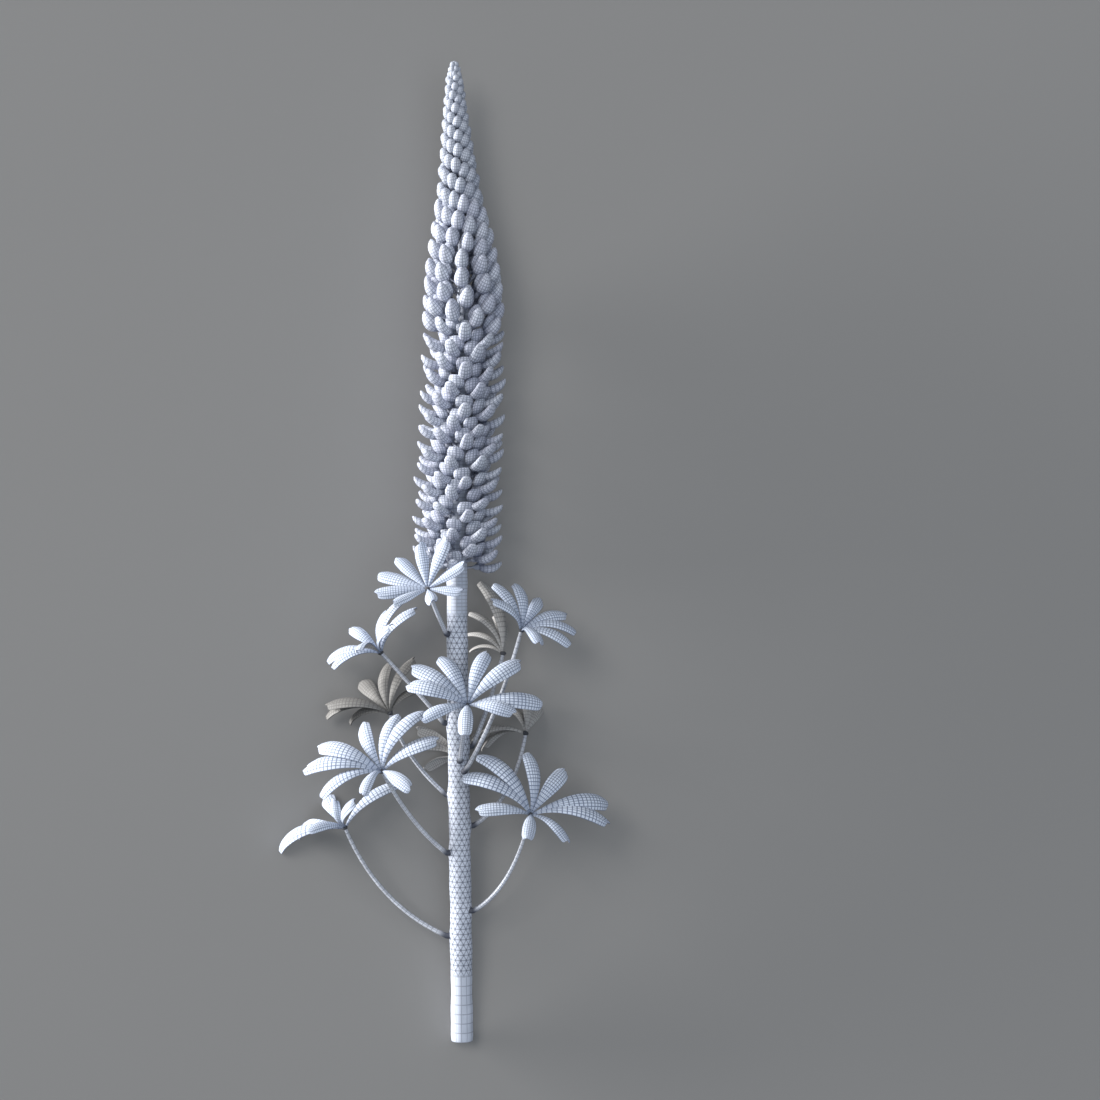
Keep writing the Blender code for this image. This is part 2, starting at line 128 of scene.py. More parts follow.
LEAVES = (
    {"foot": (311, -48), "bend": (-17, 330, 52), "hub": (-22, 345, 64), "facing": (-0.25, 0.6, 0.75),
     "arch": 0.05, "tone": "lit",
     "tips": ((14, 37, 5), (-6, 34, -6), (-23, 23, -12), (-37, 11, -12), (-38, -3, 2),
              (-24, -9, 16), (5, -8, 30), (26, -1, 10), (27, 19, 8))},
    {"foot": (244, -75), "bend": (-27, 264, 40), "hub": (-58, 297, 41), "facing": (-0.55, 0.7, 0.45),
     "arch": 0.2, "tone": "lit",
     "tips": ((-41, -6, -15), (-36, -10, 5), (-24, 18, -14), (-15, 3, 30), (3, 31, -16),
              (9, 21, 20), (13, 38, -2), (27, 33, 6))},
    {"foot": (189, -115), "bend": (-42, 217, 24), "hub": (-52, 251, 30), "facing": (-0.5, 0.75, 0.4),
     "arch": 0.2, "tone": "deep_shaded",
     "tips": ((-49, 5, -6), (-50, -3, -18), (-32, -8, -26), (-25, 22, -38), (-3, 37, -24),
              (18, 41, -9), (22, 17, -16))},
    {"foot": (216, 8), "bend": (4, 238, 58), "hub": (8, 260, 70), "facing": (0.05, 0.55, 0.85),
     "arch": 0.2, "tone": "lit",
     "tips": ((-21, 35, -14), (-42, 27, -10), (-44, 15, 4), (-33, -9, 14), (-1, -19, 32),
              (35, -5, 14), (55, 1, -2), (39, 31, -8), (14, 38, -16))},
    {"foot": (146, -62), "bend": (-36, 168, 40), "hub": (-56, 210, 56), "facing": (-0.4, 0.6, 0.7),
     "arch": 0.2, "tone": "lit",
     "tips": ((10, 41, -11), (30, 44, -4), (42, 24, 5), (23, -10, 28), (-12, -14, 30),
              (-46, -18, 2), (-58, 1, -7), (-49, 16, -14), (-16, 34, -18))},
    {"foot": (82, -80), "bend": (-62, 104, 16), "hub": (-86, 165, 30), "facing": (-0.4, 0.55, 0.7),
     "arch": 0.2, "tone": "lit",
     "tips": ((-53, -20, -26), (-38, -9, -38), (-26, 1, 18), (-17, 20, -34), (-7, 23, 12),
              (9, 23, 24), (41, 33, -4))},
    {"foot": (102, 62), "bend": (40, 118, 34), "hub": (54, 178, 54), "facing": (0.35, 0.65, 0.65),
     "arch": 0.2, "tone": "lit",
     "tips": ((-50, 29, 4), (-38, 43, -6), (-40, 4, 12), (-2, 45, -10), (26, 31, -17),
              (58, 6, -20), (58, -8, -6), (28, -19, 14), (-2, -14, 30))},
    {"foot": (208, 28), "bend": (30, 250, 58), "hub": (47, 314, 50), "facing": (0.35, 0.7, 0.6),
     "arch": 0.2, "tone": "lit",
     "tips": ((-20, 35, -8), (-22, 23, 14), (-4, 34, -16), (14, 23, -22), (34, 11, -15),
              (41, -1, -4), (37, -10, 8), (14, -9, 28))},
    {"foot": (166, 100), "bend": (42, 186, 26), "hub": (50, 236, 30), "facing": (0.4, 0.75, 0.35),
     "arch": 0.2, "tone": "shaded",
     "tips": ((-33, -14, -20), (-41, -6, -13), (-15, 14, -34), (-3, 26, -32), (8, 19, -37))},
    {"foot": (186, 180), "bend": (-1, 200, 15), "hub": (-1, 215, 12), "facing": (0.0, 0.55, -0.8),
     "arch": 0.2, "tone": "shaded",
     "tips": ((-41, 8, -9), (-27, -9, -9), (-33, 22, -9), (2, 38, -9), (24, 22, -9))},
    {"foot": (226, 105), "bend": (24, 258, 26), "hub": (33, 296, 29), "facing": (0.2, 0.85, 0.3),
     "arch": 0.2, "tone": "shaded",
     "tips": ((-25, 31, -12), (-27, 14, -17), (-5, 28, -24), (-25, 1, -19), (-16, 53, -17))},
)


# ---------------------------------------------------------------- finishes

MOTTLE_SCALE = 55.0
SPECKLE_SCALE = 900.0
CLAY_ROUGHNESS = (0.55, 0.72)
CLAY_GLOSS = 0.35
RELIEF_STRENGTH = 0.35
RELIEF_DEPTH = 0.0003
# how far the painted shade darkens a piece towards its line colour at most
CREASE_SHADE = 0.85
NET_TURNS = 12.0
LATTICE_PITCH = 4.0
LATTICE_FROM = (50, 54)
LATTICE_TO = (322, 328)
CLOSE_NET_FROM = (0.2, 0.21)


def maths(tree, operation, first, second=0.0, clamp=False):
    made = tree.nodes.new("ShaderNodeMath")
    made.operation = operation
    made.use_clamp = clamp
    for socket, value in zip(made.inputs, (first, second)):
        if isinstance(value, (int, float)):
            socket.default_value = value
        else:
            tree.links.new(value, socket)
    return made.outputs[0]


def soft_step(tree, value, low, high, at_low=0.0, at_high=1.0):
    made = tree.nodes.new("ShaderNodeMapRange")
    made.interpolation_type = "SMOOTHSTEP"
    tree.links.new(value, made.inputs["Value"])
    made.inputs["From Min"].default_value = low
    made.inputs["From Max"].default_value = high
    made.inputs["To Min"].default_value = at_low
    made.inputs["To Max"].default_value = at_high
    return made.outputs["Result"]


def fine_line(tree, value, half_width):
    """1 where the value is within half a width of a whole number, softening to 0."""
    past_half = maths(tree, "FRACT", maths(tree, "ADD", value, 0.5))
    away = maths(tree, "ABSOLUTE", maths(tree, "SUBTRACT", past_half, 0.5))
    return soft_step(tree, away, half_width * 0.4, half_width * 1.6, 1.0, 0.0)


def mix_colour(tree, factor, first, second):
    made = tree.nodes.new("ShaderNodeMix")
    made.data_type = "RGBA"
    tree.links.new(factor, made.inputs[0])
    for socket, value in ((made.inputs[6], first), (made.inputs[7], second)):
        if isinstance(value, tuple):
            socket.default_value = (*value, 1)
        else:
            tree.links.new(value, socket)
    return made.outputs[2]


def grain(tree, scale, detail=3.0):
    """Soft mottling fixed to the piece."""
    place = tree.nodes.new("ShaderNodeTexCoord")
    made = tree.nodes.new("ShaderNodeTexNoise")
    made.inputs["Scale"].default_value = scale
    made.inputs["Detail"].default_value = detail
    tree.links.new(place.outputs["Object"], made.inputs["Vector"])
    return made.outputs["Fac"]


def painted_shade_of(tree):
    """How much painted shade each point carries, 0 to 1, as written on the piece when it was made."""
    made = tree.nodes.new("ShaderNodeAttribute")
    made.attribute_name = "painted_shade"
    return made.outputs["Fac"]


def net_of(tree, around, along, width_around, width_along):
    """Lines both ways on the piece's own map: u goes round or across it, v along it."""
    place = tree.nodes.new("ShaderNodeUVMap")
    parts = tree.nodes.new("ShaderNodeSeparateXYZ")
    tree.links.new(place.outputs["UV"], parts.inputs["Vector"])
    u, v = parts.outputs["X"], parts.outputs["Y"]
    first = fine_line(tree, maths(tree, "MULTIPLY", u, around), width_around)
    second = fine_line(tree, maths(tree, "MULTIPLY", v, along), width_along)
    return maths(tree, "MAXIMUM", first, second), u, v


def clay(name, pale, deep, line_and_shade_colour, net, line_strength):
    """A matt, softly mottled finish with fine lines drawn in it, darkened towards its line colour by the
    painted shade written on the piece.
    """
    made = bpy.data.materials.new(name)
    made.use_nodes = True
    tree = made.node_tree
    shader = tree.nodes["Principled BSDF"]
    ground = mix_colour(tree, soft_step(tree, grain(tree, MOTTLE_SCALE), 0.35, 0.65), pale, deep)
    lines = maths(tree, "MULTIPLY", net(tree), line_strength)
    lined = mix_colour(tree, lines, ground, line_and_shade_colour)
    # painted shade: each piece's marks darken it towards the line colour where shade would fall
    shade = maths(tree, "MULTIPLY", painted_shade_of(tree), CREASE_SHADE)
    tree.links.new(mix_colour(tree, shade, lined, line_and_shade_colour), shader.inputs["Base Color"])
    speckle = grain(tree, SPECKLE_SCALE, 2.0)
    tree.links.new(soft_step(tree, speckle, 0.3, 0.7, *CLAY_ROUGHNESS), shader.inputs["Roughness"])
    relief = tree.nodes.new("ShaderNodeBump")
    relief.inputs["Strength"].default_value = RELIEF_STRENGTH
    relief.inputs["Distance"].default_value = RELIEF_DEPTH
    height = maths(tree, "SUBTRACT", maths(tree, "MULTIPLY", speckle, 0.4), lines)
    tree.links.new(height, relief.inputs["Height"])
    tree.links.new(relief.outputs["Normal"], shader.inputs["Normal"])
    shader.inputs["Specular IOR Level"].default_value = CLAY_GLOSS
    return made


def leaf_net(tree):
    """Veins that run the length of a leaflet and crowd at its narrow foot, with cross lines, and painted
    shade that darkens the leaflet towards the hub.
    """
    lines, _, along = net_of(tree, 6.0, 20.0, 0.115, 0.115)
    foot = soft_step(tree, along, 0.0, 0.11, 1.0, 0.0)
    # painted shade: the leaflet darkens over its first half towards the hub
    shade = soft_step(tree, along, 0.0, 0.5, 0.36, 0.0)
    return maths(tree, "MAXIMUM", maths(tree, "MAXIMUM", lines, foot), shade)


def petal_net(tree):
    """Lines round each petal and along it."""
    lines, _, _ = net_of(tree, 14.0, 10.0, 0.16, 0.14)
    return lines


def petiole_net(tree):
    """Rings along the stalk of a leaf, and painted shade at its foot where it meets the stem."""
    lines, along, _ = net_of(tree, 30.0, 6.0, 0.06, 0.09)
    lines = maths(tree, "MULTIPLY", lines, 0.65)
    # painted shade where the stalk meets the stem
    foot = soft_step(tree, along, 0.07, 0.15, 1.0, 0.0)
    return maths(tree, "MAXIMUM", lines, foot)


def stem_net(tree):
    """A square net at both ends of the bare stem and a three-way lattice with dots between."""
    wide_square, u, v = net_of(tree, NET_TURNS, 100.0, 0.06, 0.05)
    close_square, _, _ = net_of(tree, NET_TURNS, 270.0, 0.06, 0.12)
    low_part = maths(tree, "MULTIPLY", wide_square, soft_step(tree, v, *CLOSE_NET_FROM, 1.0, 0.0))
    high_part = maths(tree, "MULTIPLY", close_square, soft_step(tree, v, *CLOSE_NET_FROM, 0.0, 0.8))
    square = maths(tree, "ADD", low_part, high_part)
    across = maths(tree, "MULTIPLY", v, SPIKE_TOP_Y / LATTICE_PITCH)
    around = maths(tree, "MULTIPLY", u, NET_TURNS)
    half = maths(tree, "MULTIPLY", across, 0.5)
    families = (across, maths(tree, "ADD", around, half), maths(tree, "SUBTRACT", around, half))
    thin = [fine_line(tree, family, 0.07) for family in families]
    wide = [fine_line(tree, family, 0.2) for family in families]
    threads = maths(tree, "MAXIMUM", maths(tree, "MAXIMUM", thin[0], thin[1]), thin[2])
    lattice = maths(tree, "MULTIPLY", threads, 0.85)
    dots = maths(tree, "MULTIPLY", maths(tree, "MULTIPLY", wide[0], wide[1]), wide[2])
    lattice = maths(tree, "MAXIMUM", lattice, maths(tree, "MULTIPLY", dots, 2.0), clamp=True)
    low_end = soft_step(tree, v, *(y / SPIKE_TOP_Y for y in LATTICE_FROM))
    high_end = soft_step(tree, v, *(y / SPIKE_TOP_Y for y in LATTICE_TO), 1.0, 0.0)
    latticed = maths(tree, "MULTIPLY", low_end, high_end)
    plain = maths(tree, "MULTIPLY", maths(tree, "SUBTRACT", 1.0, latticed), 0.6)
    lattice = maths(tree, "MULTIPLY", lattice, latticed)
    return maths(tree, "ADD", lattice, maths(tree, "MULTIPLY", square, plain))


# Each finish: the clay's pale and deep tones, the colour of its lines and of its painted shade, their net
# and their strength.
# The leaflet finishes are copies of one clay with painted light and shade: the lit top, and darker
# painted-shade copies for the underside and for leaves in shade.
LINE_AND_SHADE_BLUE = (0.10, 0.12, 0.18)
FINISH = {
    "stem": clay(
        "stem clay", (0.60, 0.64, 0.74), (0.52, 0.56, 0.65),
        (0.08, 0.09, 0.13), stem_net, 0.8),
    "petiole": clay(
        "petiole clay", (0.60, 0.63, 0.70), (0.48, 0.50, 0.56),
        (0.035, 0.04, 0.06), petiole_net, 0.95),
    "hub": clay(
        "hub clay", (0.10, 0.105, 0.12), (0.05, 0.055, 0.065),
        (0.02, 0.02, 0.025), petal_net, 0.6),
    # painted light: the lit copy of the leaflet clay, for leaves whose tops face the lamps
    "lit": clay(
        "leaflet top clay", (0.66, 0.72, 0.83), (0.57, 0.63, 0.75),
        (0.09, 0.12, 0.20), leaf_net, 0.88),
    # painted shade: the underside of a lit leaf, a darker and warmer copy of the leaflet clay
    "under": clay(
        "leaflet underside painted shade clay", (0.46, 0.44, 0.42), (0.38, 0.36, 0.34),
        (0.10, 0.10, 0.10), leaf_net, 0.55),
    # painted shade: both faces of a leaf lying in shade
    "shaded": clay(
        "shaded leaflet clay", (0.52, 0.51, 0.50), (0.43, 0.42, 0.41),
        (0.09, 0.09, 0.09), leaf_net, 0.6),
    # deeper painted shade: both faces of the leaf lying in the darkest shade
    "deep_shaded": clay(
        "dull leaflet clay", (0.225, 0.218, 0.21), (0.18, 0.175, 0.17),
        (0.05, 0.05, 0.05), leaf_net, 0.6),
    "floret": clay(
        "floret clay", (0.63, 0.66, 0.74), (0.54, 0.56, 0.66),
        LINE_AND_SHADE_BLUE, petal_net, 0.68),
    "bud": clay(
        "bud clay", (0.58, 0.61, 0.68), (0.49, 0.52, 0.60),
        LINE_AND_SHADE_BLUE, petal_net, 0.68),
}


# ---------------------------------------------------------------- at the bench

NOTHING = 1e-4
MOST_CUTS = 90


def put_down():
    """Nothing is being edited and nothing is chosen."""
    if bpy.context.object and bpy.context.object.mode != "OBJECT":
        bpy.ops.object.mode_set(mode="OBJECT")
    bpy.ops.object.select_all(action="DESELECT")


def take_up(piece):
    put_down()
    piece.select_set(True)
    bpy.context.view_layer.objects.active = piece


def choose_points(piece, chosen):
    """Chooses points by number, in edit mode."""
    bpy.ops.mesh.select_all(action="DESELECT")
    shape = bmesh.from_edit_mesh(piece.data)
    shape.verts.ensure_lookup_table()
    for number in chosen:
        shape.verts[number].select = True
    shape.select_flush_mode()
    bmesh.update_edit_mesh(piece.data)


def rows_along(piece, axis):
    """The numbers of the points in each row of a piece, from low to high along an axis."""
    rows = {}
    for vertex in piece.data.vertices:
        rows.setdefault(round(vertex.co[axis], 5), []).append(vertex.index)
    return [rows[place] for place in sorted(rows)]


def shape_rows(piece, axis, shapes):
    """Sets each row of points to a middle (x, y, z) and a half-size (x, y, z) across the axis."""
    rows = rows_along(piece, axis)
    starts = [[piece.data.vertices[n].co.copy() for n in row] for row in rows]
    take_up(piece)
    bpy.ops.object.mode_set(mode="EDIT")
    for row, points, (middle, half) in zip(rows, starts, shapes):
        low = Vector([min(p[k] for p in points) for k in range(3)])
        high = Vector([max(p[k] for p in points) for k in range(3)])
        centre = (low + high) / 2
        size = (high - low) / 2
        choose_points(piece, row)
        if size.length > NOTHING:
            scale = [half[k] / size[k] if k != axis and size[k] > 1e-6 else 1.0 for k in range(3)]
            bpy.ops.transform.resize(value=scale, center_override=tuple(centre))
        bpy.ops.transform.translate(value=tuple(Vector(middle) - centre))
    bpy.ops.object.mode_set(mode="OBJECT")


def nudge(piece, test, move):
    """Moves the points that pass a test, in edit mode."""
    chosen = [vertex.index for vertex in piece.data.vertices if test(vertex.co)]
    take_up(piece)
    bpy.ops.object.mode_set(mode="EDIT")
    choose_points(piece, chosen)
    bpy.ops.transform.translate(value=move)
    bpy.ops.object.mode_set(mode="OBJECT")


def paint_shade(piece, depth):
    """Writes on each point how much painted shade it gets, where shade falls in hollows and between parts:
    depth takes a point and gives 0 to 1.
    """
    marks = piece.data.attributes.new("painted_shade", "FLOAT", "POINT")
    for vertex in piece.data.vertices:
        marks.data[vertex.index].value = min(1.0, max(0.0, depth(vertex.co)))
    return piece


def apply_modifier(piece, kind, **settings):
    take_up(piece)
    made = piece.modifiers.new(kind.lower(), kind)
    for name, value in settings.items():
        setattr(made, name, value)
    bpy.ops.object.modifier_apply(modifier=made.name)


def copy_of(blank):
    made = blank.copy()
    made.data = blank.data.copy()
    bpy.context.scene.collection.objects.link(made)
    return made


def join(pieces):
    put_down()
    for piece in pieces:
        piece.select_set(True)
    bpy.context.view_layer.objects.active = pieces[0]
    if len(pieces) > 1:
        bpy.ops.object.join()
    return pieces[0]


def smooth(piece, degrees=50):
    take_up(piece)
    bpy.ops.object.shade_smooth_by_angle(angle=math.radians(degrees))


def dress(piece, *finishes):
    piece.data.materials.clear()
    for finish in finishes:
        piece.data.materials.append(FINISH[finish])


def settle_place(piece):
    """Turns the piece's place and turn into its mesh."""
    take_up(piece)
    bpy.ops.object.transform_apply(location=True, rotation=True, scale=True)


def laid(piece):
    """Takes a piece from the plant's millimetres to its place in the frame."""
    piece.data.transform(Matrix.Translation(SHIFT) @ Matrix.Scale(MM, 4))
    piece.data.update()
    return piece


def hand_in(piece, name, slot, *nodes):
    piece.name = name
    piece.data.name = name
    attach(piece, "root")
    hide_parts(*nodes)


def ball(segments, rings, turned=(0, 0, 0)):
    put_down()
    bpy.ops.mesh.primitive_uv_sphere_add(segments=segments, ring_count=rings, radius=1, rotation=turned)
    made = bpy.context.object
    settle_place(made)
    return made


def rod(sides, rows, length=1.0):
    """An upright rod, cut into rows, with its own map: u round it and v along it."""
    put_down()
    bpy.ops.mesh.primitive_cylinder_add(vertices=sides, radius=1, depth=length, location=(0, 0, length / 2))
    made = bpy.context.object
    settle_place(made)
    bpy.ops.object.mode_set(mode="EDIT")
    bpy.ops.mesh.select_all(action="DESELECT")
    shape = bmesh.from_edit_mesh(made.data)
    chart = shape.loops.layers.uv.active
    for face in shape.faces:
        if len(face.verts) == 4 and abs(face.normal.z) < 0.5:
            for loop in face.loops:
                loop[chart].uv.y = loop[chart].uv.y * 2 - 1
    bmesh.update_edit_mesh(made.data)
    coarse = next(n for n in range(1, rows + 1) if rows % n == 0 and rows / n <= MOST_CUTS)
    for cuts in (coarse - 1, rows // coarse - 1):
        if cuts:
            bpy.ops.mesh.select_all(action="DESELECT")
            shape = bmesh.from_edit_mesh(made.data)
            for edge in shape.edges:
                edge.select = abs(edge.verts[0].co.z - edge.verts[1].co.z) > NOTHING
            bmesh.update_edit_mesh(made.data)
            bpy.ops.mesh.subdivide(number_cuts=cuts)
    bpy.ops.object.mode_set(mode="OBJECT")
    return made


# ---------------------------------------------------------------- the plant's layout

def blend(a, b, t):
    return a + (b - a) * t


def read_outline(points, x):
    for (x0, v0), (x1, v1) in zip(points, points[1:]):
        if x <= x1:
            return blend(v0, v1, (x - x0) / (x1 - x0))
    return points[-1][1]


def axis_point(y):
    rise = 1 - max(0.0, 1 - y / SPIKE_BASE_Y) ** 2
    sway = SWAY * math.cos(math.pi * min(1.0, y / SPIKE_BASE_Y))
    up = max(0.0, (y - SPIKE_BASE_Y) / (SPIKE_TOP_Y - SPIKE_BASE_Y))
    sway += SPIKE_BOW * math.sin(math.pi * up) ** 2 - TIP_LEAN * up ** 2
    return Vector((sway, y, blend(CUT_END_HEIGHT, SPIKE_HEIGHT, rise)))


# From the plant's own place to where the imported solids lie
_, stem_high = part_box("stem")
bud_low, bud_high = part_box("tip_bud")
axis_end = axis_point(SPIKE_TOP_Y)
SHIFT = Vector(((bud_low.x + bud_high.x) / 2 - axis_end.x * MM,
                stem_high.y - axis_end.y * MM,
                (bud_low.z + bud_high.z) / 2 - axis_end.z * MM))


def axis_radius(y):
    if y < SPIKE_BASE_Y:
        return blend(STEM_RADIUS, SPIKE_BASE_RADIUS, y / SPIKE_BASE_Y)
    return blend(SPIKE_BASE_RADIUS, TIP_RADIUS, (y - SPIKE_BASE_Y) / (SPIKE_TOP_Y - SPIKE_BASE_Y))


def round_the_axis(degrees):
    turn = math.radians(degrees)
    return Vector((math.sin(turn), 0, math.cos(turn)))


def along_spike(y, low, middle, high):
    """Runs from the open flowers' value through the buds' to the tip's."""
    if y < BUDS_Y:
        return blend(low, middle, max(0.0, (y - OPENING_Y) / (BUDS_Y - OPENING_Y)))
    return blend(middle, high, min(1.0, (y - BUDS_Y) / (LAST_BUD_Y - BUDS_Y)))


def pitch_at(y):
    return along_spike(y, OPEN_PITCH, BUDS_PITCH, TIP_PITCH)


def step_at(y):
    return 360 / along_spike(y, OPEN_PER_TURN, BUDS_PER_TURN, TIP_PER_TURN)


def climb_at(y):
    return SPIRALS * pitch_at(y) * step_at(y) / 360


def reach_at(y):
    return read_outline(OUTLINE, SPIKE_TOP_Y - y)


def spiral_turns(spiral):
    """The places of one spiral's flowers, height and side, cut into full turns."""
    step = step_at(FIRST_FLORET_Y)
    y = FIRST_FLORET_Y + climb_at(FIRST_FLORET_Y) * spiral / SPIRALS
    degrees = (360 - step) * spiral / SPIRALS
    turns = [[]]
    turned = 0.0
    while y < LAST_BUD_Y:
        if turned + step_at(y) > 360:
            turns.append([])
            turned = 0.0
        turns[-1].append((y, degrees))
        turned += step_at(y)
        degrees -= step_at(y)
        y += climb_at(y)
    return turns


# ---------------------------------------------------------------- flowers

def model_bud():
    """A closed bud one unit long and as wide, round at both ends: z along it, y towards the axis."""
    bud = ball(8, 7)
    shape_rows(bud, 2, (
        ((0, 0.04, 0.0), (0, 0, 0)),
        ((0, 0.03, 0.04), (0.22, 0.21, 0)),
        ((0, 0, 0.17), (0.42, 0.40, 0)),
        ((0, -0.03, 0.40), (0.54, 0.52, 0)),
        ((0, -0.03, 0.65), (0.53, 0.51, 0)),
        ((0, 0, 0.86), (0.42, 0.41, 0)),
        ((0, 0.03, 0.97), (0.22, 0.22, 0)),
        ((0, 0.05, 1.0), (0, 0, 0))))
    # painted shade at the bud's foot, tucked under the row below, and a little at its point
    paint_shade(bud, lambda p: 1.1 - p.z / 0.24 if p.z < 0.5 else (p.z - 0.9) * 3)
    smooth(bud, PETAL_ANGLE)
    return bud


def model_stalk():
    """A floret's own stalk with the cup that holds the petals, in millimetres."""
    stalk = rod(5, 4)
    shape_rows(stalk, 2, (
        ((0, -0.3, -1.0), (1.3, 1.3, 0)),
        ((0, 0.0, 1.8), (0.8, 0.8, 0)),
        ((0, 0.1, 4.6), (0.9, 0.9, 0)),
        ((0, 0.3, 6.4), (2.3, 2.1, 0)),
        ((0, 0.6, 8.8), (3.0, 2.7, 0))))
    return stalk


def model_banner(rows, groove):
    """The upper petal: two lobes side by side with a groove between them."""
    banner = ball(8, len(rows) - 1, (-math.pi / 2, 0, 0))
    shape_rows(banner, 1, rows)
    (_, _, deepest), _ = rows[len(rows) // 2]
    nudge(banner, lambda p: abs(p.x) < 0.1 and p.z > deepest + 0.5, (0, 0, -groove))
    nudge(banner, lambda p: abs(p.x) < 0.1 and p.z < deepest - 0.5, (0, 0, groove * 0.5))
    return banner


def model_opening_floret():
    """A floret that begins to open: an egg-shaped keel and the banner behind it."""
    keel = ball(8, 7)
    shape_rows(keel, 2, (
        ((0, 0.2, 3.6), (0, 0, 0)),
        ((0, 0.0, 4.5), (2.4, 2.3, 0)),
        ((0, -0.4, 7.4), (4.1, 3.9, 0)),
        ((0, -0.6, 10.8), (4.4, 4.3, 0)),
        ((0, -0.4, 14.2), (4.0, 3.8, 0)),
        ((0, 0.2, 17.2), (2.9, 2.9, 0)),
        ((0, 1.0, 19.4), (1.5, 1.6, 0)),
        ((0, 1.4, 20.4), (0, 0, 0))))
    banner = ball(8, 5)
    shape_rows(banner, 2, (
        ((0, 2.2, 4.4), (0, 0, 0)),
        ((0, 2.8, 6.0), (3.2, 1.8, 0)),
        ((0, 3.9, 10.0), (4.6, 2.8, 0)),
        ((0, 4.8, 14.0), (3.9, 2.6, 0)),
        ((0, 5.4, 17.4), (2.0, 1.5, 0)),
        ((0, 5.6, 18.6), (0, 0, 0))))
    nudge(banner, lambda p: abs(p.x) < 0.1 and p.y > 4.4 and 5 < p.z < 18, (0, -1.3, 0))
    # painted shade: the keel darker at its foot and on its side towards the axis, the banner darker at its
    # foot and a little all over
    paint_shade(keel, lambda p: max((7.5 - p.z) / 4.0, (p.y - 1.0) / 4.0))
    paint_shade(banner, lambda p: max((9.0 - p.z) / 5.0, 0.3))
    floret = join([keel, banner])
    smooth(floret, PETAL_ANGLE)
    return floret


def model_open_floret(lean):
    """An open floret: a boat-shaped keel with a turned-up point under a grooved banner."""
    keel = ball(8, 7)
    shape_rows(keel, 2, (
        ((0, 0.6, 7.4), (0, 0, 0)),
        ((0, 0.2, 8.6), (2.3, 1.7, 0)),
        ((0, -0.9, 11.8), (4.0, 2.7, 0)),
        ((0, -1.5, 16.0), (4.8, 3.2, 0)),
        ((0, -0.8, 20.4), (4.9, 3.2, 0)),
        ((0, 0.9, 24.2), (4.4, 2.7, 0)),
        ((0, 2.8, 26.6), (3.1, 1.6, 0)),
        ((0, 4.0, 27.4), (0, 0, 0))))
    banner = model_banner((
        ((0, 0.8, 9.4), (0, 0, 0)),
        ((0, 2.0, 9.8), (3.8, 0, 2.6)),
        ((lean, 5.0, 11.4), (6.1, 0, 3.8)),
        ((lean, 8.4, 13.8), (6.3, 0, 3.6)),
        ((lean, 11.2, 15.6), (4.6, 0, 2.3)),
        ((lean, 11.5, 16.2), (0, 0, 0))), 2.8)
    # painted shade: the keel darker towards its foot, the banner darker at its foot, strongly along its
    # middle groove and a little all over, the stalk evenly
    paint_shade(keel, lambda p: (15.0 - p.z) / 7.0)
    paint_shade(banner, lambda p: max((5.5 - p.y) / 4.0, 0.75 if abs(p.x) < 0.1 else 0.12))
    floret = join([keel, banner, paint_shade(model_stalk(), lambda p: STALK_SHADE)])
    smooth(floret, PETAL_ANGLE)
    return floret


def set_floret(blank, y, degrees, lean, out_at, scale):
    """Copies a blank to its place: lean is how far it turns out from the axis."""
    out = round_the_axis(degrees)
    across = UP_THE_SPIKE.cross(out)
    lean = math.radians(lean)
    grows = out * math.sin(lean) + UP_THE_SPIKE * math.cos(lean)
    inward = grows.cross(across)
    place = Matrix((across, inward, grows)).transposed().to_4x4()
    place.translation = axis_point(y) + out * out_at
    floret = copy_of(blank)
    spin = Matrix.Rotation(math.radians(dice.uniform(-9, 9)), 4, "Z")
    floret.data.transform(place @ spin @ Matrix.Diagonal((*scale, 1)))
    return floret


def set_stalk(blank, y, degrees, out_to, rise, thick):
    """Joins the axis to a floret whose foot is out_to from its middle and rise above y."""
    foot = axis_radius(y) - STALK_SINK
    run = max(0.5, out_to - foot)
    length = run / math.sin(STALK_LEAN)
    low = y + rise - run / math.tan(STALK_LEAN)
    scale = (thick, thick, length / STALK_LENGTH)
    return set_floret(blank, low, degrees, math.degrees(STALK_LEAN), foot, scale)


def set_bud(blank, stalk, y, degrees):
    """A bud as wide as its share of the spiral and as long as the step up to the next one."""
    reach = reach_at(y)
    pitch = pitch_at(y)
    width = 0.96 * reach * math.radians(step_at(y)) * dice.uniform(0.96, 1.03)
    length = 0.97 * pitch * dice.uniform(0.97, 1.03)
    lean = blend(14, 30, (reach - 3) / 15)
    sideways = reach - width * 0.48 - length * 0.62 * math.sin(math.radians(lean))
    low = y - 0.10 * pitch
    degrees += dice.uniform(-1.5, 1.5)
    return [set_floret(blank, low, degrees, lean, sideways, (width, width, length)),
            set_stalk(stalk, y, degrees, sideways, low - y + 1.0, 0.5)]


def set_opening_floret(blank, stalk, y, degrees):
    opened = (BUDS_Y - y) / (BUDS_Y - OPENING_Y)
    size = blend(0.90, 1.05, opened) * dice.uniform(0.96, 1.04)
    lean = blend(28, 52, opened) + dice.uniform(-4, 4)
    tilt = math.radians(lean)
    length = OPENING_FLORET_LENGTH * size
    sideways = reach_at(y) - length * math.sin(tilt) - 2.6 * size * math.cos(tilt)
    sideways = max(axis_radius(y) - 1.0, sideways)
    low = y - 2.5 * (1 - opened)
    degrees += dice.uniform(-3, 3)
    foot = OPENING_FLORET_FOOT * size
    out_to = sideways + foot * math.sin(tilt)
    rise = low - y + foot * math.cos(tilt)
    wide = size * OPENING_PLUMPNESS
    return [set_floret(blank, low, degrees, lean, sideways, (wide, wide, size)),
            set_stalk(stalk, y, degrees, out_to, rise, 0.8)]


